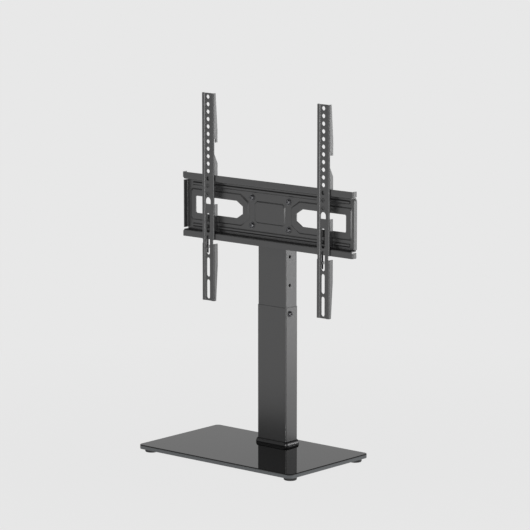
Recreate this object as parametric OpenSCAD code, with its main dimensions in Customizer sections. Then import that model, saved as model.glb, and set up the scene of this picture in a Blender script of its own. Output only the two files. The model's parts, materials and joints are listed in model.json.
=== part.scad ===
// Table stand for a flat television: a black glass base, a steel column that telescopes
// in steps, a pressed wall plate on its head and two upright rails that hook on the plate.
// Millimetres, +Z up, the television looks towards -Y. The origin is on the floor, under
// the middle of the glass.

/* [Glass base] */
// Width of the glass
glass_w = 400; // [330:5:520]
// Depth of the glass, front to back
glass_d = 240; // [200:5:320]
// Thickness of the glass
glass_t = 9; // [6:0.5:12]
// Radius of the glass corners, seen from above
glass_corner_r = 9; // [5:1:20]
// Ground bevel along the glass edges
glass_bevel = 0.8; // [0.4:0.1:1.5]

/* [Feet] */
// Height of the rubber feet
foot_h = 7; // [5.5:0.1:12]
// Diameter of the rubber feet
foot_d = 26; // [18:1:34]
// Distance from the side of the glass to the foot
foot_inset_x = 4.5; // [2:0.5:16]
// Distance from the front or the back of the glass to the foot
foot_inset_y = 7.5; // [2:0.5:16]

/* [Column] */
// Width of the outer column
column_w = 74.8; // [64:0.2:90]
// Depth of the outer column
column_d = 36.4; // [32:0.2:44]
// Wall of the outer column
column_wall = 1; // [0.9:0.1:1.8]
// Corner radius of the outer column
column_corner_r = 3; // [2.8:0.1:5]
// Length of the outer column
column_h = 280; // [240:5:340]
// Distance from the back edge of the glass to the column
column_setback = 25.7; // [14:0.1:50]
// Running clearance round the inner column
inner_gap = 0.05; // [0.05:0.05:0.2]
// Wall of the inner column
inner_wall = 1.5; // [1.2:0.1:2]
// Length of the inner column that stays in the outer one at the top level
inner_engaged = 140; // [110:5:160]

/* [Height levels] */
// Distance between two height levels
level_pitch = 57.5; // [45:0.5:60]
// Number of height levels
level_count = 3; // [2:1:3]
// Height bolt below the rim of the outer column
bolt_drop = 12.9; // [12:0.1:24]
// Height bolt in front of the middle of the column
bolt_forward = 5; // [0:0.5:6]
// Diameter of the holes for the height bolts
level_hole_d = 6.6; // [6.4:0.1:7]

/* [Foot collar] */
// Height of the half round collar at the foot of the column
collar_h = 8.4; // [6:0.1:14]
// How far the collar stands out from the column
collar_wall = 4.2; // [3:0.1:6]

/* [Mount plate] */
// Width of the mount plate
plate_w = 444; // [420:2:480]
// Height of the mount plate over both lips
plate_h = 131; // [126:0.5:140]
// Sheet thickness of the mount plate
plate_t = 2; // [1.6:0.1:2.4]
// Depth from the front of the lips to the front of the pressed body
plate_recess = 13.7; // [13.2:0.1:15]
// Height of the lips that the rails hook on
lip_h = 14.3; // [13:0.1:15.5]
// Length of the lip ends that are folded back as stops
lip_return = 12; // [9:0.5:12]
// Depth of the side flanges
side_flange = 9.5; // [7:0.5:11]
// Width of the two long openings
opening_w = 126; // [110:1:134]
// Height of the two long openings
opening_h = 35; // [28:1:40]
// Distance between the two long openings
opening_apart = 140; // [136:1:150]
// Plate above the rim of the outer column at the lowest level
plate_rim_gap = 6.7; // [3:0.1:12]

/* [Plate bolts] */
// Plate bolts beside the sides of the outer column
plate_bolt_out = 10.1; // [9:0.1:12]
// Distance between the plate bolts, up and down
plate_bolts_z = 56; // [54:1:58]

/* [Rails] */
// Length of a rail
rail_l = 421; // [415:1:430]
// Width of a rail
rail_w = 32; // [30:1:36]
// Sheet thickness of a rail
rail_t = 2; // [1.8:0.1:2.2]
// Depth of the rail flanges
rail_flange = 12.2; // [11:0.1:13]
// Depth of the rail flanges at the ends
rail_end_flange = 7; // [5:0.1:8]
// Distance between the middles of the rails
rail_apart = 300; // [280:5:320]
// Rail above the mount plate
rail_over = 165.2; // [160:0.2:170]
// Diameter of the round screw holes
rail_hole_d = 8.6; // [6.5:0.1:9]
// Pitch of the round screw holes
rail_hole_pitch = 15; // [14:0.2:15]
// Length of a screw slot
rail_slot_l = 39.5; // [32:0.5:40]
// Pitch of the screw slots
rail_slot_pitch = 45; // [43:0.5:45]

/* [Hidden] */
$fn = 48;

// Cuts run past the faces they open by this much
overrun = 1;
// A thin layer, where a hull needs one
skin = 0.01;
// Gap left between flat faces that only touch
touch_gap = 0.05;

// Glass and what clamps it
glass_z = foot_h;
glass_top_z = glass_z + glass_t;
gasket_t = 0.8;
backing_t = 2.2;
backing_w = 110;
backing_d = 52;
backing_corner_r = 6;
base_bolts_x = 50;
base_bolts_y = 18;
base_bolt_r = 3;
base_bolt_head_r = 5.5;
base_bolt_head_h = 2;
base_bolt_reach = 8;
bush_wall = 0.9;
bush_gap = 0.05;

// Column
column_y = glass_d / 2 - column_setback - column_d / 2;
column_z = glass_top_z + gasket_t;
rim_z = column_z + column_h;
column_foot_t = 10;
inner_w = column_w - 2 * (column_wall + inner_gap);
inner_d = column_d - 2 * (column_wall + inner_gap);
inner_corner_r = column_corner_r - column_wall - inner_gap;
inner_z = rim_z - inner_engaged;
level_z = rim_z - bolt_drop;
level_travel = (level_count - 1) * level_pitch;
bolt_y = column_y - bolt_forward;
collar_slices = 8;
collar_foot_angle = -10;
collar_top_angle = 75;
m6_r = 3;
m6_head_r = 5.6;
m6_head_h = 3.4;
m6_socket_r = 2.1;
m6_socket_depth = 2;
m6_washer_r = 7;
m6_washer_t = 1;
m6_nut_r = 5.7;
m6_nut_h = 5;
m6_gap = 0.1;
level_nut_r = 5;
level_nut_h = 4;
guide_flange_t = 4;
guide_plug_h = 12;
guide_wall = 3;
cap_t = 2.5;
cap_plug_h = 10;
cap_corner_r = 2;

// Head plate and mount plate
plate_z = rim_z + level_travel + plate_rim_gap;
plate_top_z = plate_z + plate_h;
plate_mid_z = plate_z + plate_h / 2;
plate_bolts_x = column_w + 2 * plate_bolt_out;
head_plate_t = 4;
head_plate_edge = 13.5;
head_plate_w = plate_bolts_x + 2 * head_plate_edge;
head_plate_h = 84;
head_plate_cut = 10;
body_back_y = column_y - inner_d / 2 - head_plate_t;
body_y = body_back_y - plate_t;
lip_y = body_y - plate_recess;
bend_r = 1.5;
bend_out_r = bend_r + plate_t;
side_flange_gap = 2.6;
side_flange_h = plate_h - 2 * (lip_h + side_flange_gap);
opening_cut_x = 16;
opening_cut_z = 10;
opening_cut_small = 2;
panel_rise = 2;
panel_slope = 2.4;
panel_rim_in = 12.5;
panel_rim_out = 11.3;
panel_rim_z = 12.5;
panel_cut_x = 21;
panel_cut_z = 14;
panel_cut_small = 4;
centre_panel_in = 10;
centre_panel_w = plate_bolts_x - 2 * centre_panel_in;
centre_panel_h = 40;
centre_panel_cut = 6;
bead_w = 8;
bead_crest = 3;
bead_rise = 2;
bead_inset = 23.3;
bead_end = 18;

// Rails
rail_top_z = plate_top_z + rail_over;
rail_z = rail_top_z - rail_l;
rail_channel = 1.2;
rail_channel_edge = 7;
rail_channel_slope = 1.4;
lip_gap = 0.6;
rail_y = lip_y - lip_gap - rail_channel - rail_t;
rail_bend_r = 1;
rail_bend_out_r = rail_bend_r + rail_t;
rail_taper = 72;
rail_root = rail_t + 0.3 * rail_t;
hook_slot = 3.6;
hook_finger = 7.5;
hook_pitch = 73.5;
hook_z = plate_top_z + touch_gap;
hook_notch = 23;
hook_slope = 19;
tab_drop = 59;
tab_ledge_gap = 3.5;
lift_gap = 8.5;
relief_w = rail_bend_out_r;
rail_hole_count = 14;
rail_hole_edge = 7.6;
rail_slot_count = 4;
rail_slot_edge = 23.3;
arch_w = 13.6;
arch_h = 13.6;
lock_screw_r = 2;
lock_screw_off = 5;
lock_screw_l = 27.6;
lock_tip_gap = 0.3;
lock_socket_r = 1.2;
lock_socket_depth = 2.5;
lock_bracket_w = 11.5;
lock_bracket_d = 5.6;
lock_bracket_h = 6;
lock_bracket_drop = 12.5;
lock_gap = 0.2;

// Colours, as the finishes show them
steel_black = "#4c4c4e";
glass_black = "#1c1c1e";
rubber_black = "#242426";
plastic_black = "#2e2e30";
zinc_grey = "#8a8a8c";
zinc_black = "#5a5a5c";

// A bar with upright rounded edges, centred on the axis, standing on z = 0
module rounded_bar(w, d, h, r) {
    translate([-w / 2, -d / 2 + r, 0]) cube([w, d - 2 * r, h]);
    translate([-w / 2 + r, -d / 2, 0]) cube([w - 2 * r, d, h]);
    for (x = [-1, 1], y = [-1, 1])
        translate([x * (w / 2 - r), y * (d / 2 - r), 0]) cylinder(r = r, h = h);
}

// The same bar with a hole through it, leaving the wall
module rounded_tube(w, d, h, r, wall) {
    difference() {
        rounded_bar(w, d, h, r);
        translate([0, 0, -overrun])
            rounded_bar(w - 2 * wall, d - 2 * wall, h + 2 * overrun, max(r - wall, skin));
    }
}

// Places its children at the four bolts that hold the column on the glass
module at_base_bolts() {
    for (x = [-1, 1], y = [-1, 1])
        translate([x * base_bolts_x / 2, column_y + y * base_bolts_y / 2, 0]) children();
}

// Places its children at the four plate bolts, with +Z pointing to the television
module at_plate_bolts(y) {
    for (x = [-1, 1], z = [-1, 1])
        translate([x * plate_bolts_x / 2, y, plate_mid_z + z * plate_bolts_z / 2])
            rotate([90, 0, 0]) children();
}

// Places its children on both sides of the column, with +Z pointing outwards
module on_both_sides(x, z) {
    for (side = [-1, 1])
        translate([side * x, bolt_y, z]) rotate([0, side * 90, 0]) children();
}

// Extrudes a section in Y and Z along X, centred
module along_x(l) {
    rotate([90, 0, 90]) linear_extrude(l, center = true) children();
}

// A quarter of a ring in the corner of +X and +Y, as a bent sheet shows it
module bend(r_out, t) {
    difference() {
        intersection() {
            circle(r_out);
            square(r_out);
        }
        circle(r_out - t);
    }
}

// Button head bolt along Z, its head above z = 0 and its shank below
module button_bolt(shank_l) {
    difference() {
        union() {
            cylinder(r1 = m6_head_r, r2 = m6_head_r - m6_head_h / 2, h = m6_head_h);
            translate([0, 0, -shank_l]) cylinder(r = m6_r, h = shank_l + m6_head_h / 2);
        }
        translate([0, 0, m6_head_h - m6_socket_depth])
            cylinder(r = m6_socket_r, h = m6_socket_depth + overrun, $fn = 6);
    }
}

module washer(r, t, hole_r) {
    difference() {
        cylinder(r = r, h = t);
        translate([0, 0, -overrun]) cylinder(r = hole_r, h = t + 2 * overrun);
    }
}

// Base

module glass_base() {
    color(glass_black)
    difference() {
        translate([0, 0, glass_z]) hull() {
            translate([0, 0, glass_bevel])
                rounded_bar(glass_w, glass_d, glass_t - 2 * glass_bevel, glass_corner_r);
            rounded_bar(glass_w - 2 * glass_bevel, glass_d - 2 * glass_bevel, glass_t,
                        glass_corner_r - glass_bevel);
        }
        at_base_bolts() translate([0, 0, glass_z - overrun])
            cylinder(r = base_bolt_r + bush_wall + 2 * bush_gap, h = glass_t + 2 * overrun);
    }
}

module rubber_feet() {
    foot_bevel = foot_h / 5;
    color(rubber_black)
    for (x = [-1, 1], y = [-1, 1])
        translate([x * (glass_w / 2 - foot_inset_x - foot_d / 2),
                   y * (glass_d / 2 - foot_inset_y - foot_d / 2), 0]) {
            cylinder(r1 = foot_d / 2 - foot_bevel, r2 = foot_d / 2, h = foot_bevel);
            translate([0, 0, foot_bevel]) cylinder(r = foot_d / 2, h = foot_h - foot_bevel);
        }
}

module backing_plate() {
    color(steel_black)
    difference() {
        translate([0, column_y, glass_z - gasket_t - backing_t])
            rounded_bar(backing_w, backing_d, backing_t, backing_corner_r);
        at_base_bolts() cylinder(r = base_bolt_r + m6_gap, h = glass_z + overrun);
    }
}

module lower_gasket() {
    color(rubber_black)
    difference() {
        translate([0, column_y, glass_z - gasket_t])
            rounded_bar(backing_w, backing_d, gasket_t, backing_corner_r);
        at_base_bolts() cylinder(r = base_bolt_r + m6_gap, h = glass_z + overrun);
    }
}

module upper_gasket() {
    color(rubber_black)
    difference() {
        translate([0, column_y, glass_top_z])
            rounded_bar(column_w, column_d, gasket_t, column_corner_r);
        at_base_bolts() translate([0, 0, glass_top_z - overrun])
            cylinder(r = base_bolt_r + m6_gap, h = gasket_t + 2 * overrun);
    }
}

module glass_bushes() {
    color(plastic_black)
    at_base_bolts() translate([0, 0, glass_z])
        washer(base_bolt_r + bush_wall + bush_gap, glass_t, base_bolt_r + bush_gap);
}

module base_bolts() {
    head_z = glass_z - gasket_t - backing_t - base_bolt_head_h;
    shank_h = column_z + base_bolt_reach - head_z - base_bolt_head_h;
    color(zinc_black)
    at_base_bolts() translate([0, 0, head_z]) {
        difference() {
            cylinder(r = base_bolt_head_r, h = base_bolt_head_h);
            translate([0, 0, -overrun])
                cylinder(r = m6_socket_r, h = base_bolt_head_h / 2 + overrun, $fn = 6);
        }
        translate([0, 0, base_bolt_head_h]) cylinder(r = base_bolt_r, h = shank_h);
    }
}

module column_foot() {
    color(steel_black)
    difference() {
        translate([0, column_y, column_z])
            rounded_bar(column_w - 2 * (column_wall + touch_gap),
                        column_d - 2 * (column_wall + touch_gap), column_foot_t,
                        column_corner_r - column_wall);
        at_base_bolts() translate([0, 0, column_z - overrun])
            cylinder(r = base_bolt_r + bush_gap, h = column_foot_t + 2 * overrun);
    }
}

module outer_column() {
    color(steel_black)
    difference() {
        translate([0, column_y, column_z])
            rounded_tube(column_w, column_d, column_h, column_corner_r, column_wall);
        on_both_sides(column_w / 2, level_z)
            cylinder(r = level_hole_d / 2, h = 4 * column_wall, center = true);
    }
}

// A thin slice of the half round collar, at an angle along its arc
module collar_slice(angle) {
    low = sin(collar_foot_angle);
    share = (sin(angle) - low) / (sin(collar_top_angle) - low);
    out = touch_gap + collar_wall * cos(angle);
    translate([0, 0, share * (collar_h - skin)])
        rounded_bar(column_w + 2 * out, column_d + 2 * out, skin, column_corner_r + out);
}

module foot_collar() {
    step = (collar_top_angle - collar_foot_angle) / collar_slices;
    color(plastic_black)
    difference() {
        translate([0, column_y, glass_top_z]) hull()
            for (k = [0 : collar_slices]) collar_slice(collar_foot_angle + k * step);
        translate([0, column_y, glass_top_z - overrun])
            rounded_bar(column_w + 2 * touch_gap, column_d + 2 * touch_gap,
                        collar_h + 2 * overrun, column_corner_r + touch_gap);
    }
}

// The height bolts end flush with the inside of the outer column, clear of the inner one
module height_bolts() {
    color(zinc_grey)
    on_both_sides(column_w / 2 + m6_washer_t, level_z)
        button_bolt(m6_washer_t + column_wall);
}

module height_washers() {
    color(zinc_grey)
    on_both_sides(column_w / 2, level_z) washer(m6_washer_r, m6_washer_t, m6_r + m6_gap);
}

// Head

module inner_column() {
    inner_h = plate_top_z - lip_h - inner_z;
    color(steel_black)
    difference() {
        translate([0, column_y, inner_z])
            rounded_tube(inner_w, inner_d, inner_h, inner_corner_r, inner_wall);
        for (k = [0 : level_count - 1])
            on_both_sides(inner_w / 2, level_z + k * level_pitch)
                cylinder(r = level_hole_d / 2, h = 4 * inner_wall, center = true);
    }
}

module height_nuts() {
    color(zinc_black)
    for (k = [0 : level_count - 1])
        on_both_sides(inner_w / 2 - inner_wall - level_nut_h, level_z + k * level_pitch)
            washer(level_nut_r, level_nut_h, m6_r);
}

module column_guide() {
    color(plastic_black) {
        translate([0, column_y, inner_z - guide_flange_t])
            rounded_tube(inner_w, inner_d, guide_flange_t, inner_corner_r,
                         inner_wall + guide_wall);
        translate([0, column_y, inner_z])
            rounded_tube(inner_w - 2 * (inner_wall + touch_gap),
                         inner_d - 2 * (inner_wall + touch_gap), guide_plug_h,
                         inner_wall, guide_wall);
    }
}

module column_cap() {
    cap_z = plate_top_z - lip_h;
    color(plastic_black) {
        translate([0, column_y, cap_z])
            rounded_bar(inner_w, inner_d, cap_t, cap_corner_r);
        translate([0, column_y, cap_z - cap_plug_h])
            rounded_bar(inner_w - 2 * (inner_wall + touch_gap),
                        inner_d - 2 * (inner_wall + touch_gap), cap_plug_h, inner_wall);
    }
}

module head_plate() {
    half_w = head_plate_w / 2;
    half_h = head_plate_h / 2;
    cut = head_plate_cut;
    color(steel_black)
    difference() {
        translate([0, body_back_y + head_plate_t, plate_mid_z]) rotate([90, 0, 0])
            linear_extrude(head_plate_t)
                polygon([[-half_w, -half_h + cut], [-half_w + cut, -half_h],
                         [half_w - cut, -half_h], [half_w, -half_h + cut],
                         [half_w, half_h - cut], [half_w - cut, half_h],
                         [-half_w + cut, half_h], [-half_w, half_h - cut]]);
        at_plate_bolts(body_back_y + head_plate_t + overrun)
            cylinder(r = m6_r + m6_gap, h = head_plate_t + 2 * overrun);
    }
}

// Outline of a plate feature right of the middle, with wide cuts on its inner side
function side_outline(x_in, x_out, h, cut_x, cut_z, small) =
    [[x_in, cut_z - h / 2], [x_in, h / 2 - cut_z], [x_in + cut_x, h / 2],
     [x_out - small, h / 2], [x_out, h / 2 - small], [x_out, small - h / 2],
     [x_out - small, -h / 2], [x_in + cut_x, -h / 2]];

// Outline of the pressed panel round an opening, grown by a margin
function side_panel(grow) =
    side_outline(opening_apart / 2 - panel_rim_in - grow,
                 opening_apart / 2 + opening_w + panel_rim_out + grow,
                 opening_h + 2 * panel_rim_z + 2 * grow,
                 panel_cut_x, panel_cut_z, panel_cut_small);

// Outline of the pressed panel in the middle, grown by a margin
function centre_panel(grow) =
    let (w = centre_panel_w / 2 + grow, h = centre_panel_h / 2 + grow, c = centre_panel_cut)
    [[-w, c - h], [-w, h - c], [c - w, h], [w - c, h], [w, h - c], [w, c - h],
     [w - c, -h], [c - w, -h]];

// A flat outline in X and Z as a slab between two depths, y_front nearer the television
module slab(outline, y_front, y_back) {
    translate([0, y_back, plate_mid_z]) rotate([90, 0, 0])
        linear_extrude(y_back - y_front) polygon(outline);
}

// A panel pressed forward from y, with sloping sides and a root of depth run
module pressed_panel(top, foot, y, run) {
    hull() {
        slab(top, y - panel_rise, y);
        slab(foot, y - skin, y + run);
    }
}

// All three panels, in front of the sheet or, one sheet further back, as their hollows
module pressed_panels(y, run) {
    for (side = [0, 1])
        mirror([side, 0, 0]) pressed_panel(side_panel(0), side_panel(panel_slope), y, run);
    pressed_panel(centre_panel(0), centre_panel(panel_slope), y, run);
}

// Section of the upper half of the plate in Y and Z: body, ledge and upright lip
module plate_half_section() {
    ledge_z = plate_h / 2 - lip_h;
    translate([body_y, 0]) square([plate_t, ledge_z - bend_r]);
    translate([body_y - bend_r, ledge_z - bend_r]) bend(bend_out_r, plate_t);
    translate([lip_y + bend_out_r, ledge_z])
        square([plate_recess - bend_out_r - bend_r, plate_t]);
    translate([lip_y + bend_out_r, ledge_z + bend_out_r])
        rotate(180) bend(bend_out_r, plate_t);
    translate([lip_y, ledge_z + bend_out_r]) square([plate_t, lip_h - bend_out_r]);
}

// The fold at the end of a lip or of the body, in X and Y, for the right-hand side
module folded_end(y, back, l) {
    translate([plate_w / 2 - bend_out_r, y]) {
        translate([0, back ? bend_out_r : plate_t - bend_out_r])
            mirror([0, back ? 1 : 0]) bend(bend_out_r, plate_t);
        translate([bend_r, back ? bend_out_r : plate_t - l])
            square([plate_t, l - bend_out_r]);
    }
}

module mount_plate() {
    lip_upright = lip_h - bend_out_r;
    bead_root = plate_t / 2;
    color(steel_black)
    difference() {
        union() {
            translate([0, 0, plate_mid_z]) along_x(plate_w - 2 * bend_out_r) {
                plate_half_section();
                mirror([0, 1]) plate_half_section();
            }
            for (side = [0, 1]) mirror([side, 0, 0]) {
                translate([0, 0, plate_mid_z - side_flange_h / 2])
                    linear_extrude(side_flange_h) folded_end(body_y, false, side_flange + plate_t);
                for (z = [plate_z, plate_top_z - lip_upright])
                    translate([0, 0, z])
                        linear_extrude(lip_upright) folded_end(lip_y, true, lip_return);
            }
            for (z = [-1, 1])
                translate([0, body_y, plate_mid_z + z * (plate_h / 2 - bead_inset)])
                    along_x(plate_w - 2 * bead_end)
                        polygon([[-bead_rise, -bead_crest / 2], [-bead_rise, bead_crest / 2],
                                 [0, bead_w / 2], [bead_root, bead_w / 2],
                                 [bead_root, -bead_w / 2], [0, -bead_w / 2]]);
            pressed_panels(body_y, plate_t / 2);
        }
        pressed_panels(body_back_y, overrun);
        for (side = [0, 1]) mirror([side, 0, 0])
            slab(side_outline(opening_apart / 2, opening_apart / 2 + opening_w, opening_h,
                              opening_cut_x, opening_cut_z, opening_cut_small),
                 body_y - plate_recess / 2, body_back_y + overrun);
        at_plate_bolts(body_back_y + overrun)
            cylinder(r = m6_r + m6_gap, h = plate_t + 2 * overrun);
    }
}

module plate_bolts() {
    color(zinc_grey)
    at_plate_bolts(body_y - m6_washer_t)
        button_bolt(m6_washer_t + plate_t + head_plate_t + m6_nut_h);
}

module plate_washers() {
    color(zinc_grey)
    at_plate_bolts(body_y) washer(m6_washer_r, m6_washer_t, m6_r + m6_gap);
}

module plate_nuts() {
    color(zinc_grey)
    at_plate_bolts(body_back_y + head_plate_t + m6_nut_h)
        difference() {
            cylinder(r = m6_nut_r, h = m6_nut_h, $fn = 6);
            translate([0, 0, -overrun])
                cylinder(r = m6_r + touch_gap, h = m6_nut_h + 2 * overrun);
        }
}

// Rails

// Side of a rail in Y and Z from its front face: a hook on the top lip, a spare hook
// above it, a notch that clears the bottom lip and both ends tapered
module rail_side() {
    root = rail_root;
    slot = rail_root + hook_slot;
    deep = rail_flange;
    spare_z = hook_z + hook_pitch;
    tab_z = plate_top_z - tab_drop;
    polygon([[-overrun, rail_z], [rail_end_flange, rail_z], [deep, rail_z + rail_taper],
             [deep, plate_z - lift_gap], [root, plate_z - lift_gap],
             [root, plate_z + lip_h + tab_ledge_gap], [deep, plate_z + lip_h + tab_ledge_gap],
             [deep, tab_z], [root, tab_z], [root, hook_z], [slot, hook_z],
             [slot, hook_z - hook_finger], [deep, hook_z - hook_finger],
             [deep, spare_z - hook_finger - hook_notch - hook_slope],
             [root, spare_z - hook_finger - hook_notch], [root, spare_z], [slot, spare_z],
             [slot, spare_z - hook_finger], [deep, spare_z - hook_finger],
             [deep, rail_top_z - rail_taper], [rail_end_flange, rail_top_z],
             [-overrun, rail_top_z]]);
}

// Section of the rail's web in X and Y, with its shallow pressed channel
module rail_web() {
    near = rail_bend_out_r;
    edge = rail_channel_edge;
    foot = rail_channel_edge + rail_channel_slope;
    polygon([[near, 0], [edge, 0], [foot, rail_channel], [rail_w - foot, rail_channel],
             [rail_w - edge, 0], [rail_w - near, 0], [rail_w - near, rail_t],
             [rail_w - edge, rail_t], [rail_w - foot, rail_t + rail_channel],
             [foot, rail_t + rail_channel], [edge, rail_t], [near, rail_t]]);
}

// A rail whose left edge is at x
module rail(x) {
    color(steel_black)
    translate([x, rail_y, 0])
    difference() {
        union() {
            translate([0, 0, rail_z]) linear_extrude(rail_l) rail_web();
            intersection() {
                translate([rail_w / 2, 0, 0]) along_x(rail_w + 2 * overrun) rail_side();
                for (side = [0, 1])
                    translate([side * rail_w, 0, rail_z]) mirror([side, 0, 0])
                        linear_extrude(rail_l) {
                            translate([rail_bend_out_r, rail_bend_out_r])
                                rotate(180) bend(rail_bend_out_r, rail_t);
                            translate([0, rail_bend_out_r])
                                square([rail_t, rail_flange - rail_bend_out_r]);
                        }
            }
        }
        for (k = [0 : rail_hole_count - 1])
            rail_cut(rail_top_z - rail_hole_edge - k * rail_hole_pitch)
                circle(d = rail_hole_d);
        for (k = [0 : rail_slot_count - 1])
            rail_cut(rail_z + rail_slot_edge + k * rail_slot_pitch) {
                square([rail_hole_d, rail_slot_l - rail_hole_d], center = true);
                for (z = [-1, 1]) translate([0, z * (rail_slot_l - rail_hole_d) / 2])
                    circle(d = rail_hole_d);
            }
        rail_cut(plate_top_z - tab_drop - touch_gap) {
            translate([-arch_w / 2, 0]) square([arch_w, arch_h - arch_w / 2]);
            translate([0, arch_h - arch_w / 2]) circle(d = arch_w);
        }
        for (x = [-overrun, rail_w - relief_w])
            translate([x, -overrun, plate_z - lift_gap])
                cube([relief_w + overrun, rail_flange + overrun, lift_gap]);
    }
}

// A cut through the middle of the web, at height z
module rail_cut(z) {
    depth = rail_t + rail_channel + 2 * overrun;
    translate([rail_w / 2, depth - overrun, z]) rotate([90, 0, 0])
        linear_extrude(depth) children();
}

// Lock screw of a rail: its tip sits just under the bottom lip, so the rail can't lift off
lock_x = rail_w / 2 - lock_screw_off;
lock_y = rail_y + rail_t + rail_channel + lock_gap + lock_screw_r;

module lock_bracket(x) {
    y = rail_y + rail_t + rail_channel + touch_gap;
    z = plate_z - lock_bracket_drop - lock_bracket_h;
    color(steel_black)
    difference() {
        translate([x + rail_t, y, z])
            cube([lock_bracket_w, lock_bracket_d, lock_bracket_h]);
        translate([x + lock_x, lock_y, z - overrun])
            cylinder(r = lock_screw_r + touch_gap, h = lock_bracket_h + 2 * overrun);
    }
}

module lock_screw(x) {
    color(zinc_black)
    translate([x + lock_x, lock_y, plate_z - lock_tip_gap - lock_screw_l])
    difference() {
        cylinder(r = lock_screw_r, h = lock_screw_l);
        translate([0, 0, -overrun])
            cylinder(r = lock_socket_r, h = lock_socket_depth + overrun, $fn = 6);
    }
}

left_x = -(rail_apart + rail_w) / 2;
right_x = (rail_apart - rail_w) / 2;

module left_rail() rail(left_x);
module right_rail() rail(right_x);
module left_lock_bracket() lock_bracket(left_x);
module right_lock_bracket() lock_bracket(right_x);
module left_lock_screw() lock_screw(left_x);
module right_lock_screw() lock_screw(right_x);

glass_base();
rubber_feet();
backing_plate();
lower_gasket();
upper_gasket();
glass_bushes();
base_bolts();
column_foot();
outer_column();
foot_collar();
height_bolts();
height_washers();
inner_column();
height_nuts();
column_guide();
column_cap();
head_plate();
mount_plate();
plate_bolts();
plate_washers();
plate_nuts();
left_rail();
right_rail();
left_lock_bracket();
right_lock_bracket();
left_lock_screw();
right_lock_screw();
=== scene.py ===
"""Table stand for a television: powder-coated steel, black glass and button-head bolts.

Metres, +Z up, the television looks towards -Y.
"""

import json
from math import cos, radians, sin

import bpy
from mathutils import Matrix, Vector

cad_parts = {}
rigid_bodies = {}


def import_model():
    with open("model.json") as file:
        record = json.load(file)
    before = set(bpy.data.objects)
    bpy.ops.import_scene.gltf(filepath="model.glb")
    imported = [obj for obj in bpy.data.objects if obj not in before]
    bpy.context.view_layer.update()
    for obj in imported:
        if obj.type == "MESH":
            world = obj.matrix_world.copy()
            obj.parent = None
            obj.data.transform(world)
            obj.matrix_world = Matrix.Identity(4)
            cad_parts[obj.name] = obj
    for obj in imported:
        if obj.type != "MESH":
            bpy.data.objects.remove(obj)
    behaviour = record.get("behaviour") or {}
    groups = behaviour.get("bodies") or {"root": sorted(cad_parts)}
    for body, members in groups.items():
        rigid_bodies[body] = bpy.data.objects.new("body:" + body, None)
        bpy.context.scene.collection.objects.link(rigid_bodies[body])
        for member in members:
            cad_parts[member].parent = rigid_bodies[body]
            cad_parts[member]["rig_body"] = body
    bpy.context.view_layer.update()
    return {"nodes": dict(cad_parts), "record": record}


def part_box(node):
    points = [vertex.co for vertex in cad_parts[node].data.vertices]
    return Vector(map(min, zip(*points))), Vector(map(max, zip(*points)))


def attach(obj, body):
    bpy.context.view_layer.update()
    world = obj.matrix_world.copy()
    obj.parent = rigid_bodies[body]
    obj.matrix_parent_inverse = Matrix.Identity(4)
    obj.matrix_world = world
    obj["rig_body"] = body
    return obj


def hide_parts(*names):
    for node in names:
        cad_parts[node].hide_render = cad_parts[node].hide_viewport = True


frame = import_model()
MM = 0.001


# ---------------------------------------------------------------- colours and nodes

def linear(hex_colour):
    """An sRGB hex value, such as "4c4c4e", as linear red, green, blue and alpha."""
    channels = [int(hex_colour[i:i + 2], 16) / 255 for i in (0, 2, 4)]
    return [c / 12.92 if c <= 0.04045 else ((c + 0.055) / 1.055) ** 2.4 for c in channels] + [1.0]


def add_node(tree, kind, links=None, values=None, **settings):
    """Adds a node, sets its settings and input values, and links its inputs from output sockets."""
    node = tree.nodes.new(kind)
    for name, value in settings.items():
        setattr(node, name, value)
    for socket, value in (values or {}).items():
        node.inputs[socket].default_value = value
    for socket, source in (links or {}).items():
        tree.links.new(source, node.inputs[socket])
    return node


def new_material(name):
    """An empty material. Returns it, its tree and the object's own coordinates in metres."""
    material = bpy.data.materials.new(name)
    material.use_nodes = True
    tree = material.node_tree
    tree.nodes.clear()
    return material, tree, add_node(tree, "ShaderNodeTexCoord").outputs["Object"]


def add_shader(tree, links, values):
    """The surface: one Principled BSDF with linked inputs and fixed ones."""
    surface = add_node(tree, "ShaderNodeBsdfPrincipled", links, values).outputs["BSDF"]
    add_node(tree, "ShaderNodeOutputMaterial", {"Surface": surface})


def rounded_edges(tree, radius_mm):
    """A normal that turns softly over radius_mm at the edges, and a mask: 1 there, 0 on the flats."""
    rounded = add_node(tree, "ShaderNodeBevel", values={"Radius": radius_mm * MM},
                       samples=6).outputs["Normal"]
    flat = add_node(tree, "ShaderNodeNewGeometry").outputs["Normal"]
    alike = add_node(tree, "ShaderNodeVectorMath", {0: rounded, 1: flat}, operation="DOT_PRODUCT")
    mask = add_node(tree, "ShaderNodeMapRange", {"Value": alike.outputs["Value"]},
                    {"From Min": 0.8, "From Max": 0.99, "To Min": 1.0, "To Max": 0.0})
    return rounded, mask.outputs["Result"]


# ---------------------------------------------------------------- finishes

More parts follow.
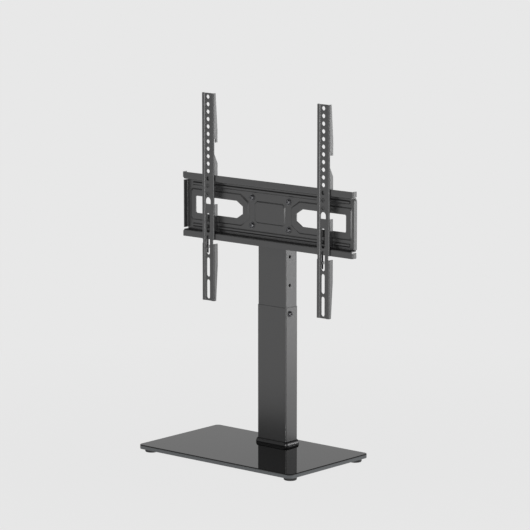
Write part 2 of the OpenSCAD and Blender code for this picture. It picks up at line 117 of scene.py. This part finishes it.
def powder_coat():
    """Black polyester powder coat with a little metallic pigment, sprayed dry and baked on steel.

    The powder melts into a satin skin that mirrors the pale floor softly, which is most of its tone.
    Orange peel makes that reflection waver and clouds of gloss keep it uneven. The edges are painted
    lighter, a painted highlight along them. Its IOR is above plain polyester's 1.5 for that pigment.
    """
    material, tree, place = new_material("black_powder_coat")
    clouds = add_node(tree, "ShaderNodeTexNoise", {"Vector": place},
                      {"Scale": 1 / (60 * MM), "Detail": 3.0}).outputs["Fac"]
    # Orange peel is 1 to 2 mm wide. It is drawn at 2.6 mm, the finest that the picture shows.
    peel = add_node(tree, "ShaderNodeTexNoise", {"Vector": place},
                    {"Scale": 1 / (2.6 * MM), "Detail": 2.0}).outputs["Fac"]
    flecks = add_node(tree, "ShaderNodeTexNoise", {"Vector": place},
                      {"Scale": 1 / (1.2 * MM), "Detail": 1.0}).outputs["Fac"]
    rounded, edge = rounded_edges(tree, 0.5)
    base = add_node(tree, "ShaderNodeMix", {"Factor": clouds},
                    {"A": linear("1a1a1b"), "B": linear("2a2a2b")}, data_type="RGBA").outputs["Result"]
    fleck = add_node(tree, "ShaderNodeMapRange", {"Value": flecks},
                     {"From Min": 0.66, "From Max": 0.78, "To Max": 0.35}).outputs["Result"]
    # The edges are painted lighter here: a painted highlight along them.
    painted_edge_highlight = add_node(tree, "ShaderNodeMath", {0: edge}, {1: 0.6}, operation="MULTIPLY").outputs["Value"]
    lighter = add_node(tree, "ShaderNodeMath", {0: fleck, 1: painted_edge_highlight}, operation="MAXIMUM").outputs["Value"]
    tone = add_node(tree, "ShaderNodeMix", {"Factor": lighter, "A": base}, {"B": linear("3a3a3c")},
                    data_type="RGBA").outputs["Result"]
    gloss = add_node(tree, "ShaderNodeMapRange", {"Value": clouds},
                     {"From Min": 0.3, "From Max": 0.7, "To Min": 0.34, "To Max": 0.4}).outputs["Result"]
    skin = add_node(tree, "ShaderNodeBump", {"Height": peel, "Normal": rounded},
                    {"Strength": 0.25, "Distance": 0.05 * MM}).outputs["Normal"]
    add_shader(tree, {"Base Color": tone, "Roughness": gloss, "Normal": skin}, {"IOR": 1.85})
    return material


POLISHED_RIM_WITH_PAINTED_REFLECTION = 2.6 * MM     # bevel and rim together, measured down from the top of the glass; the rim is painted black, a painted reflection
GRINDING_FADE = 0.6 * MM    # the height over which the polish gives way to the grinding


def black_glass():
    """Tempered float glass, enamelled black below, with a polished bevel and fine-ground upright edges.

    Its top mirrors what is behind it, with faint smears and a little dust. The bevel is black like the
    top, and the polished rim below it is painted black too, a painted reflection of the black glass, so
    a dark line runs round it. The ground edge is grey and soft, and the enamel below is dull.
    """
    material, tree, place = new_material("black_tempered_glass")
    rim_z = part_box("glass_base")[1][2] - POLISHED_RIM_WITH_PAINTED_REFLECTION
    facing = add_node(tree, "ShaderNodeNewGeometry").outputs["True Normal"]
    up = add_node(tree, "ShaderNodeSeparateXYZ", {"Vector": facing}).outputs["Z"]
    flatness = add_node(tree, "ShaderNodeMath", {0: up}, operation="ABSOLUTE").outputs["Value"]
    upright = add_node(tree, "ShaderNodeMapRange", {"Value": flatness},
                       {"From Min": 0.3, "From Max": 0.4, "To Min": 1.0, "To Max": 0.0}).outputs["Result"]
    height = add_node(tree, "ShaderNodeSeparateXYZ", {"Vector": place}).outputs["Z"]
    under_rim = add_node(tree, "ShaderNodeMapRange", {"Value": height},
                         {"From Min": rim_z, "From Max": rim_z + GRINDING_FADE,
                          "To Min": 1.0, "To Max": 0.0})
    edge = add_node(tree, "ShaderNodeMath", {0: upright, 1: under_rim.outputs["Result"]},
                    operation="MULTIPLY").outputs["Value"]
    below = add_node(tree, "ShaderNodeMapRange", {"Value": up},
                     {"From Min": -0.95, "From Max": -0.85, "To Min": 1.0, "To Max": 0.0}).outputs["Result"]
    smears = add_node(tree, "ShaderNodeTexNoise", {"Vector": place},
                      {"Scale": 1 / (70 * MM), "Detail": 3.0}).outputs["Fac"]
    dust = add_node(tree, "ShaderNodeTexNoise", {"Vector": place},
                    {"Scale": 1 / (1.5 * MM), "Detail": 1.0}).outputs["Fac"]
    # Grinding marks run along the edge as long level streaks, so the noise is drawn out sideways.
    along = add_node(tree, "ShaderNodeMapping", {"Vector": place},
                     {"Scale": (0.15, 0.15, 1.0)}).outputs["Vector"]
    ground = add_node(tree, "ShaderNodeTexNoise", {"Vector": along},
                      {"Scale": 1 / (1.2 * MM), "Detail": 2.0}).outputs["Fac"]
    dusty = add_node(tree, "ShaderNodeMapRange", {"Value": dust},
                     {"From Min": 0.72, "From Max": 0.8, "To Max": 0.25}).outputs["Result"]
    top_tone = add_node(tree, "ShaderNodeMix", {"Factor": dusty},
                        {"A": linear("040405"), "B": linear("2c2c2e")}, data_type="RGBA").outputs["Result"]
    edge_tone = add_node(tree, "ShaderNodeMix", {"Factor": ground},
                         {"A": linear("4e5153"), "B": linear("66696b")}, data_type="RGBA").outputs["Result"]
    # Upright faces in the polished rim keep the top's black: a painted reflection of the black glass.
    upper = add_node(tree, "ShaderNodeMix", {"Factor": edge, "A": top_tone, "B": edge_tone},
                     data_type="RGBA").outputs["Result"]
    tone = add_node(tree, "ShaderNodeMix", {"Factor": below, "A": upper}, {"B": linear("121213")},
                    data_type="RGBA").outputs["Result"]
    polish = add_node(tree, "ShaderNodeMapRange", {"Value": smears},
                      {"From Min": 0.35, "From Max": 0.75, "To Min": 0.012, "To Max": 0.03}).outputs["Result"]
    honed = add_node(tree, "ShaderNodeMath", {0: edge, 2: polish}, {1: 0.14},
                     operation="MULTIPLY_ADD").outputs["Value"]
    gloss = add_node(tree, "ShaderNodeMath", {0: below, 2: honed}, {1: 0.4},
                     operation="MULTIPLY_ADD").outputs["Value"]
    add_shader(tree, {"Base Color": tone, "Roughness": gloss}, {"IOR": 1.5})
    return material


def rubber():
    """Moulded nitrile rubber: dull, greyed in patches by bloom and dust, pitted as its mould is."""
    material, tree, place = new_material("black_rubber")
    bloom = add_node(tree, "ShaderNodeTexNoise", {"Vector": place},
                     {"Scale": 1 / (7 * MM), "Detail": 3.0}).outputs["Fac"]
    pits = add_node(tree, "ShaderNodeTexNoise", {"Vector": place},
                    {"Scale": 1 / (0.8 * MM), "Detail": 2.0}).outputs["Fac"]
    tone = add_node(tree, "ShaderNodeMix", {"Factor": bloom},
                    {"A": linear("171718"), "B": linear("2c2c2d")}, data_type="RGBA").outputs["Result"]
    gloss = add_node(tree, "ShaderNodeMapRange", {"Value": bloom},
                     {"From Min": 0.3, "From Max": 0.7, "To Min": 0.6, "To Max": 0.78}).outputs["Result"]
    skin = add_node(tree, "ShaderNodeBump", {"Height": pits},
                    {"Strength": 0.4, "Distance": 0.08 * MM}).outputs["Normal"]
    add_shader(tree, {"Base Color": tone, "Roughness": gloss, "Normal": skin}, {"IOR": 1.52})
    return material


def satin_plastic():
    """Injection-moulded black ABS: satin, its reflections bent by the mould's faint sink and flow."""
    material, tree, place = new_material("black_abs_plastic")
    flow = add_node(tree, "ShaderNodeTexNoise", {"Vector": place},
                    {"Scale": 1 / (18 * MM), "Detail": 2.0}).outputs["Fac"]
    haze = add_node(tree, "ShaderNodeTexNoise", {"Vector": place},
                    {"Scale": 1 / (1.5 * MM), "Detail": 1.0}).outputs["Fac"]
    rounded, edge = rounded_edges(tree, 0.3)
    base = add_node(tree, "ShaderNodeMix", {"Factor": flow},
                    {"A": linear("141415"), "B": linear("202022")}, data_type="RGBA").outputs["Result"]
    # The edges are painted a shade lighter: a painted highlight along them.
    tone = add_node(tree, "ShaderNodeMix", {"Factor": edge, "A": base}, {"B": linear("202022")},
                    data_type="RGBA").outputs["Result"]
    gloss = add_node(tree, "ShaderNodeMapRange", {"Value": haze},
                     {"From Min": 0.3, "From Max": 0.7, "To Min": 0.26, "To Max": 0.36}).outputs["Result"]
    skin = add_node(tree, "ShaderNodeBump", {"Height": flow, "Normal": rounded},
                    {"Strength": 0.2, "Distance": 0.3 * MM}).outputs["Normal"]
    add_shader(tree, {"Base Color": tone, "Roughness": gloss, "Normal": skin}, {"IOR": 1.53})
    return material


def plated_steel(name, dark, light, rubbed):
    """Electroplated zinc on cold-headed steel: patchy gloss, fine crystals, and edges rubbed brighter."""
    material, tree, place = new_material(name)
    patches = add_node(tree, "ShaderNodeTexNoise", {"Vector": place},
                       {"Scale": 1 / (3.5 * MM), "Detail": 2.0}).outputs["Fac"]
    # Zinc crystals are far below a tenth of a millimetre. They are drawn at 0.7 mm, as a faint grain.
    crystals = add_node(tree, "ShaderNodeTexNoise", {"Vector": place},
                        {"Scale": 1 / (0.7 * MM), "Detail": 2.0}).outputs["Fac"]
    rounded, edge = rounded_edges(tree, 0.25)
    base = add_node(tree, "ShaderNodeMix", {"Factor": patches},
                    {"A": linear(dark), "B": linear(light)}, data_type="RGBA").outputs["Result"]
    tone = add_node(tree, "ShaderNodeMix", {"Factor": edge, "A": base}, {"B": linear(rubbed)},
                    data_type="RGBA").outputs["Result"]
    gloss = add_node(tree, "ShaderNodeMapRange", {"Value": patches},
                     {"From Min": 0.3, "From Max": 0.7, "To Min": 0.24, "To Max": 0.36}).outputs["Result"]
    skin = add_node(tree, "ShaderNodeBump", {"Height": crystals, "Normal": rounded},
                    {"Strength": 0.15, "Distance": 0.02 * MM}).outputs["Normal"]
    add_shader(tree, {"Base Color": tone, "Roughness": gloss, "Normal": skin}, {"Metallic": 1.0})
    return material


FINISH = {
    "black_powder_coated_steel": powder_coat(),
    "black_glass": black_glass(),
    "black_rubber": rubber(),
    "black_plastic": satin_plastic(),
    "zinc_plated_steel": plated_steel("bright_zinc_plate", "969698", "b2b2b4", "c8c8c8"),
    "black_zinc_steel": plated_steel("black_zinc_plate", "5a5a5c", "7c7c7e", "b0b0b2"),
}
# The lock screws sit behind the rails, in their shade, so their black zinc is painted much darker than the
# bolts': a painted shade.
PAINTED_SHADE_ZINC = plated_steel("black_zinc_plate_painted_shade", "141415", "1e1e20", "303032")
SLOT = {}
for part in frame["record"]["subparts"]:
    node, finish = part["node"], FINISH[part["material_slot"]]
    SLOT[node] = part["material_slot"]
    for slot in frame["nodes"][node].material_slots:
        slot.material = PAINTED_SHADE_ZINC if node.endswith("_lock_screw") else finish


# ---------------------------------------------------------------- pieces

def choose(piece):
    """Makes piece the only selected object and the active one."""
    bpy.ops.object.select_all(action="DESELECT")
    piece.select_set(True)
    bpy.context.view_layer.objects.active = piece


def modify(piece, kind, **settings):
    """Adds a modifier with its settings and applies it."""
    choose(piece)
    modifier = piece.modifiers.new(kind.lower(), kind)
    for name, value in settings.items():
        setattr(modifier, name, value)
    bpy.ops.object.modifier_apply(modifier=modifier.name)


def weld(piece):
    """Merges a CAD mesh's loose triangles and joins those that lie in one plane."""
    choose(piece)
    bpy.ops.object.mode_set(mode="EDIT")
    bpy.ops.mesh.select_all(action="SELECT")
    bpy.ops.mesh.remove_doubles(threshold=0.002 * MM)
    bpy.ops.mesh.dissolve_limited(angle_limit=radians(0.5))
    bpy.ops.mesh.normals_make_consistent(inside=False)
    bpy.ops.object.mode_set(mode="OBJECT")


def smooth(piece, angle):
    """Smooth shading up to an angle, with large faces kept flat."""
    choose(piece)
    bpy.ops.object.shade_smooth_by_angle(angle=radians(angle))
    modify(piece, "WEIGHTED_NORMAL", mode="FACE_AREA", weight=100, keep_sharp=True)


def stand_for(piece, node):
    """The piece moves with the node's body and is shown in the node's place."""
    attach(piece, frame["nodes"][node]["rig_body"])
    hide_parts(node)


def dress(node, edge_mm, sharp=35, soft=50):
    """A welded copy of a CAD node, with its sharp edges rounded over edge_mm and its curves smooth."""
    source = frame["nodes"][node]
    piece = source.copy()
    piece.data = source.data.copy()
    piece.name = node + "_finished"
    piece.parent = None
    # The copy drops the marks by which the frame knows the node.
    for key in list(piece.keys()):
        del piece[key]
    bpy.context.scene.collection.objects.link(piece)
    weld(piece)
    if edge_mm:
        modify(piece, "BEVEL", width=edge_mm * MM, segments=2, limit_method="ANGLE",
               angle_limit=radians(sharp), use_clamp_overlap=True)
    smooth(piece, soft)
    stand_for(piece, node)


# The button-head bolt: its radii and heights, and the curve of its dome.
HEAD_R, HEAD_H, HEAD_RIM = 5.6 * MM, 3.4 * MM, 0.7 * MM
SHANK_R, SOCKET_R, SOCKET_DEPTH = 3 * MM, 2.3 * MM, 2.1 * MM
DOME_RINGS, DOME_TURN, DOME_POWER = 7, radians(62), 1.2
ROUND_SIDES, EDGE_BREAK = 48, 0.15 * MM
HEIGHT_BOLT_SHANK = 4 * MM


def button_bolt(name, shank):
    """A button-head bolt along Z with its shank below z = 0: domed head, hexagon socket."""
    bpy.ops.object.select_all(action="DESELECT")
    bpy.ops.mesh.primitive_circle_add(vertices=ROUND_SIDES, radius=SHANK_R, fill_type="NGON",
                                      location=(0, 0, -shank))
    bolt = bpy.context.object
    bolt.name = name
    bpy.ops.object.transform_apply(location=True)
    bpy.ops.object.mode_set(mode="EDIT")
    bpy.ops.mesh.select_all(action="SELECT")
    bpy.ops.mesh.extrude_region_move(TRANSFORM_OT_translate={"value": (0, 0, shank)})
    bpy.ops.mesh.extrude_region_move(TRANSFORM_OT_translate={"value": (0, 0, 0)})
    bpy.ops.transform.resize(value=(HEAD_R / SHANK_R, HEAD_R / SHANK_R, 1), center_override=(0, 0, 0))
    bpy.ops.mesh.extrude_region_move(TRANSFORM_OT_translate={"value": (0, 0, HEAD_RIM)})
    radius, top = HEAD_R, HEAD_RIM
    for ring in range(1, DOME_RINGS + 1):
        turn = DOME_TURN * ring / DOME_RINGS
        new_radius = HEAD_R * cos(turn) ** DOME_POWER
        new_top = HEAD_RIM + (HEAD_H - HEAD_RIM) * sin(turn) / sin(DOME_TURN)
        bpy.ops.mesh.extrude_region_move(TRANSFORM_OT_translate={"value": (0, 0, new_top - top)})
        bpy.ops.transform.resize(value=(new_radius / radius, new_radius / radius, 1),
                                 center_override=(0, 0, new_top))
        radius, top = new_radius, new_top
    bpy.ops.mesh.select_all(action="SELECT")
    bpy.ops.mesh.normals_make_consistent(inside=False)
    bpy.ops.object.mode_set(mode="OBJECT")
    bpy.ops.mesh.primitive_cylinder_add(vertices=6, radius=SOCKET_R, depth=2 * SOCKET_DEPTH,
                                        location=(0, 0, HEAD_H))
    cutter = bpy.context.object
    modify(bolt, "BOOLEAN", operation="DIFFERENCE", object=cutter, solver="EXACT")
    bpy.data.objects.remove(cutter)
    modify(bolt, "BEVEL", width=EDGE_BREAK, segments=2, limit_method="ANGLE", angle_limit=radians(40))
    return bolt


def set_bolts(node, bolt, places, turn):
    """Copies of a bolt at the places, turned from +Z to face outwards, in place of the CAD bolts."""
    for number, place in enumerate(places, 1):
        piece = bolt.copy()
        piece.data = bolt.data.copy()
        piece.name = f"{node}_{number}"
        bpy.context.scene.collection.objects.link(piece)
        piece.rotation_euler = turn(place)
        piece.location = place
        choose(piece)
        bpy.ops.object.transform_apply(location=True, rotation=True)
        piece.data.materials.append(FINISH[SLOT[node]])
        smooth(piece, angle=35)
        stand_for(piece, node)
    bpy.data.objects.remove(bolt)


low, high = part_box("plate_bolts")
seat_y = low[1] + HEAD_H
corners = [(x, seat_y, z) for x in (low[0] + HEAD_R, high[0] - HEAD_R)
           for z in (low[2] + HEAD_R, high[2] - HEAD_R)]
set_bolts("plate_bolts", button_bolt("plate_bolt", high[1] - seat_y), corners,
          lambda place: (radians(90), 0, 0))

low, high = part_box("height_bolts")
seat_x = high[0] - HEAD_H
sides = [(side * seat_x, (low[1] + high[1]) / 2, (low[2] + high[2]) / 2) for side in (-1, 1)]
set_bolts("height_bolts", button_bolt("height_bolt", HEIGHT_BOLT_SHANK), sides,
          lambda place: (0, radians(90) if place[0] > 0 else radians(-90), 0))

dress("glass_base", 0, soft=30)
dress("rubber_feet", 0.6)
dress("outer_column", 0.25)
dress("inner_column", 0.2)
dress("foot_collar", 0.4, sharp=50)
dress("mount_plate", 0.3)
dress("left_rail", 0.3)
dress("right_rail", 0.3)
dress("plate_washers", 0.2)
dress("height_washers", 0.2)
dress("head_plate", 0.3)
dress("column_cap", 0.4)
dress("plate_nuts", 0.2)
for side in ("left", "right"):
    dress(side + "_lock_bracket", 0.3)
    dress(side + "_lock_screw", 0.2)


# ---------------------------------------------------------------- stage, lamps and camera

PALE = linear("e8e8e8")
# In metres from the middle: where the floor's shadow begins to fade, and where it is gone. Then its share.
SHADOW_NEAR, SHADOW_FAR, SHADOW_SHARE = 0.3, 1.2, 0.03


def studio_floor():
    """Matt white sweep that shows its own pale tone and, near the object, a little of its shadow."""
    material, tree, place = new_material("pale_sweep")
    glow = add_node(tree, "ShaderNodeEmission", values={"Color": PALE}).outputs["Emission"]
    matt = add_node(tree, "ShaderNodeBsdfDiffuse", values={"Color": PALE}).outputs["BSDF"]
    away = add_node(tree, "ShaderNodeVectorMath", {0: place}, operation="LENGTH").outputs["Value"]
    share = add_node(tree, "ShaderNodeMapRange", {"Value": away},
                     {"From Min": SHADOW_NEAR, "From Max": SHADOW_FAR,
                      "To Min": SHADOW_SHARE, "To Max": 0.0}).outputs["Result"]
    surface = add_node(tree, "ShaderNodeMixShader", {0: share, 1: glow, 2: matt}).outputs["Shader"]
    add_node(tree, "ShaderNodeOutputMaterial", {"Surface": surface})
    return material


bpy.ops.object.select_all(action="DESELECT")
bpy.ops.mesh.primitive_plane_add(size=80, location=(0, 0, 0))
floor = bpy.context.object
floor.name = "floor"
floor.data.materials.append(studio_floor())


def soft_box(name, place, aim, width, height, watts):
    """A rectangular soft box that points at a place and is itself hidden from the camera."""
    data = bpy.data.lights.new(name, "AREA")
    data.shape = "RECTANGLE"
    data.size = width
    data.size_y = height
    data.energy = watts
    box = bpy.data.objects.new(name, data)
    box.location = place
    box.rotation_euler = (Vector(aim) - Vector(place)).to_track_quat("-Z", "Y").to_euler()
    box.visible_camera = False
    bpy.context.scene.collection.objects.link(box)


# Each one's name, place, aim, width, height and watts.
MIDDLE = (0, 0, 0.4)
soft_box("key_front_left", (-2.4, -2.8, 3.4), MIDDLE, 1.6, 1.6, 10)
soft_box("low_back_right", (0.64, 0.74, 0.09), (0, 0, 0.07), 0.6, 0.18, 0.3)
soft_box("back_right", (3.2, 3.8, 0.25), (0, 0, 0.25), 3.0, 0.5, 42)
soft_box("fill_right", (3.6, 0.2, 0.35), (0, 0, 0.35), 2.4, 0.6, 9)
soft_box("strip_front_right", (2.9, -3.4, 0.6), MIDDLE, 0.5, 0.8, 40)


def studio_world():
    """Pale room: the backdrop's tone at the horizon, greyer higher up and dark overhead.

    The camera, gloss and clear things see that room. Matt surfaces are lit by a dimmer, even one.
    """
    world = bpy.data.worlds.new("studio")
    world.use_nodes = True
    tree = world.node_tree
    tree.nodes.clear()
    path = add_node(tree, "ShaderNodeLightPath").outputs
    direction = add_node(tree, "ShaderNodeTexCoord").outputs["Generated"]
    height = add_node(tree, "ShaderNodeSeparateXYZ", {"Vector": direction}).outputs["Z"]
    tones = add_node(tree, "ShaderNodeValToRGB", {"Fac": height})
    ramp = tones.color_ramp
    stops = ((0.06, "e8e8e8"), (0.12, "d0d0d0"), (0.2, "cccccc"), (0.5, "6a6a6a"), (0.95, "2a2a2a"))
    while len(ramp.elements) < len(stops):
        ramp.elements.new(0.5)
    for element, (position, _) in zip(ramp.elements, stops):
        element.position = position
    for element, (_, tone) in zip(ramp.elements, stops):
        element.color = linear(tone)
    shown = add_node(tree, "ShaderNodeBackground", {"Color": tones.outputs["Color"]}, {"Strength": 1.0})
    matt = add_node(tree, "ShaderNodeBackground", values={"Color": linear("ffffff"), "Strength": 0.2})
    seen = path["Is Camera Ray"]
    for kind in ("Is Glossy Ray", "Is Transmission Ray"):
        seen = add_node(tree, "ShaderNodeMath", {0: seen, 1: path[kind]},
                        operation="MAXIMUM").outputs["Value"]
    both = add_node(tree, "ShaderNodeMixShader", {0: seen, 1: matt.outputs["Background"],
                                                 2: shown.outputs["Background"]})
    add_node(tree, "ShaderNodeOutputWorld", {"Surface": both.outputs["Shader"]})
    return world


bpy.context.scene.world = studio_world()

AZIMUTH, ELEVATION = radians(40.729), radians(9.752)
DISTANCE, AIM = 6.002076, Vector((0.032479, 0, 0.391306))
FOCAL_PIXELS, FRAME_PIXELS, SENSOR = 3051.244, 530, 36
forward = Vector((-sin(AZIMUTH) * cos(ELEVATION), cos(AZIMUTH) * cos(ELEVATION), -sin(ELEVATION)))
camera = bpy.data.objects.new("camera", bpy.data.cameras.new("camera"))
camera.location = AIM - forward * DISTANCE
camera.rotation_euler = (radians(90) - ELEVATION, 0, AZIMUTH)
camera.data.sensor_width = SENSOR
camera.data.lens = SENSOR * FOCAL_PIXELS / FRAME_PIXELS
bpy.context.scene.collection.objects.link(camera)
bpy.context.scene.camera = camera
bpy.context.scene.view_settings.view_transform = "Standard"
